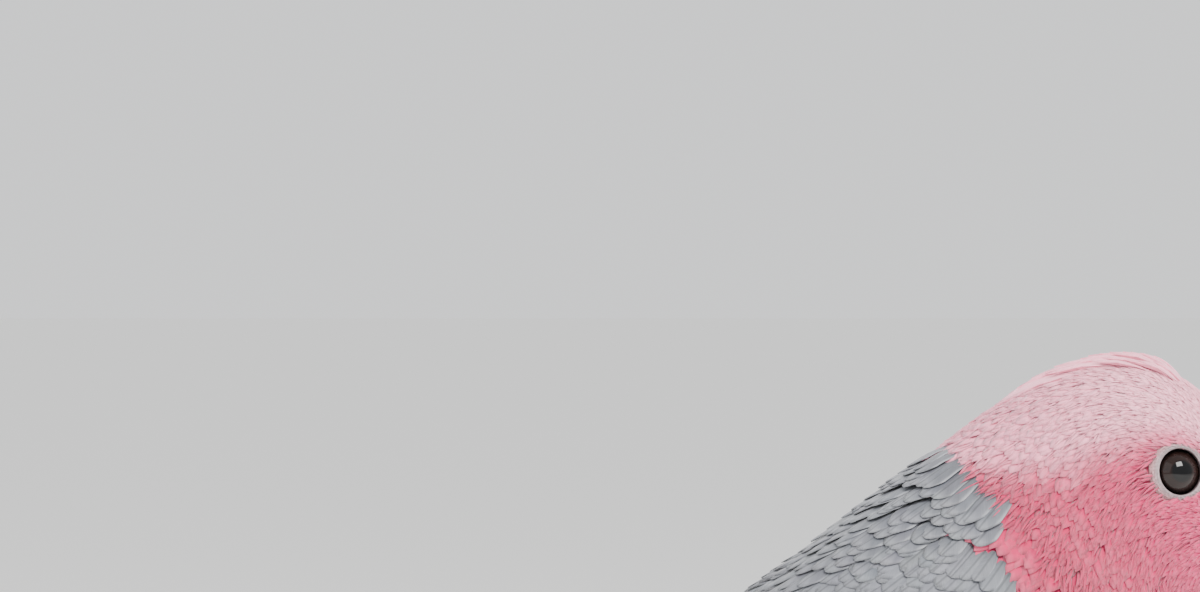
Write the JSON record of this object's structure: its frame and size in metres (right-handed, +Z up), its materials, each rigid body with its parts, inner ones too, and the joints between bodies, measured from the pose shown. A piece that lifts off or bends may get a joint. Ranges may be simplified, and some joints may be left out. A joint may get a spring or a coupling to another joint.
{
  "type": "galah",
  "caption": "Life-size still model of an adult galah, a pink and grey cockatoo, standing at rest on both feet with folded wings and a flattened crest",
  "frame": {"origin": "the middle of the bounding box, on the floor that the bird stands on", "axes": "+X is the way the bird faces, +Y is its left, +Z is up"},
  "size_m": [0.3054, 0.0888, 0.195],
  "materials": {
    "plumage_rose": "rose-pink feathers",
    "plumage_crown": "pale pink crest feathers",
    "plumage_pale_grey": "pale grey feathers",
    "plumage_grey": "mid grey feathers",
    "plumage_dark_grey": "dark grey flight and tail feathers",
    "bill": "satin horn",
    "cere": "matte bare skin",
    "eye_ring": "wrinkled bare skin",
    "eye": "wet and glossy",
    "foot": "scaled skin",
    "claw": "satin horn"
  },
  "bodies": {
    "root": {"head": "plumage_rose", "neck": "plumage_rose", "trunk": "plumage_rose", "tail_base": "plumage_pale_grey", "crest": "plumage_crown", "bill_upper": "bill", "bill_lower": "bill", "cere": "cere", "tail": "plumage_dark_grey", "eye_l": "eye", "eye_r": "eye", "eye_ring_l": "eye_ring", "eye_ring_r": "eye_ring", "wing_l": "plumage_grey", "wing_r": "plumage_grey", "secondaries_l": "plumage_grey", "secondaries_r": "plumage_grey", "primaries_l": "plumage_dark_grey", "primaries_r": "plumage_dark_grey", "thigh_l": "plumage_rose", "thigh_r": "plumage_rose", "tarsus_l": "foot", "tarsus_r": "foot", "toe_inner_front_l": "foot", "toe_inner_front_r": "foot", "toe_outer_front_l": "foot", "toe_outer_front_r": "foot", "toe_outer_hind_l": "foot", "toe_outer_hind_r": "foot", "toe_inner_hind_l": "foot", "toe_inner_hind_r": "foot", "claw_inner_front_l": "claw", "claw_inner_front_r": "claw", "claw_outer_front_l": "claw", "claw_outer_front_r": "claw", "claw_outer_hind_l": "claw", "claw_outer_hind_r": "claw", "claw_inner_hind_l": "claw", "claw_inner_hind_r": "claw"}
  },
  "joints": []
}
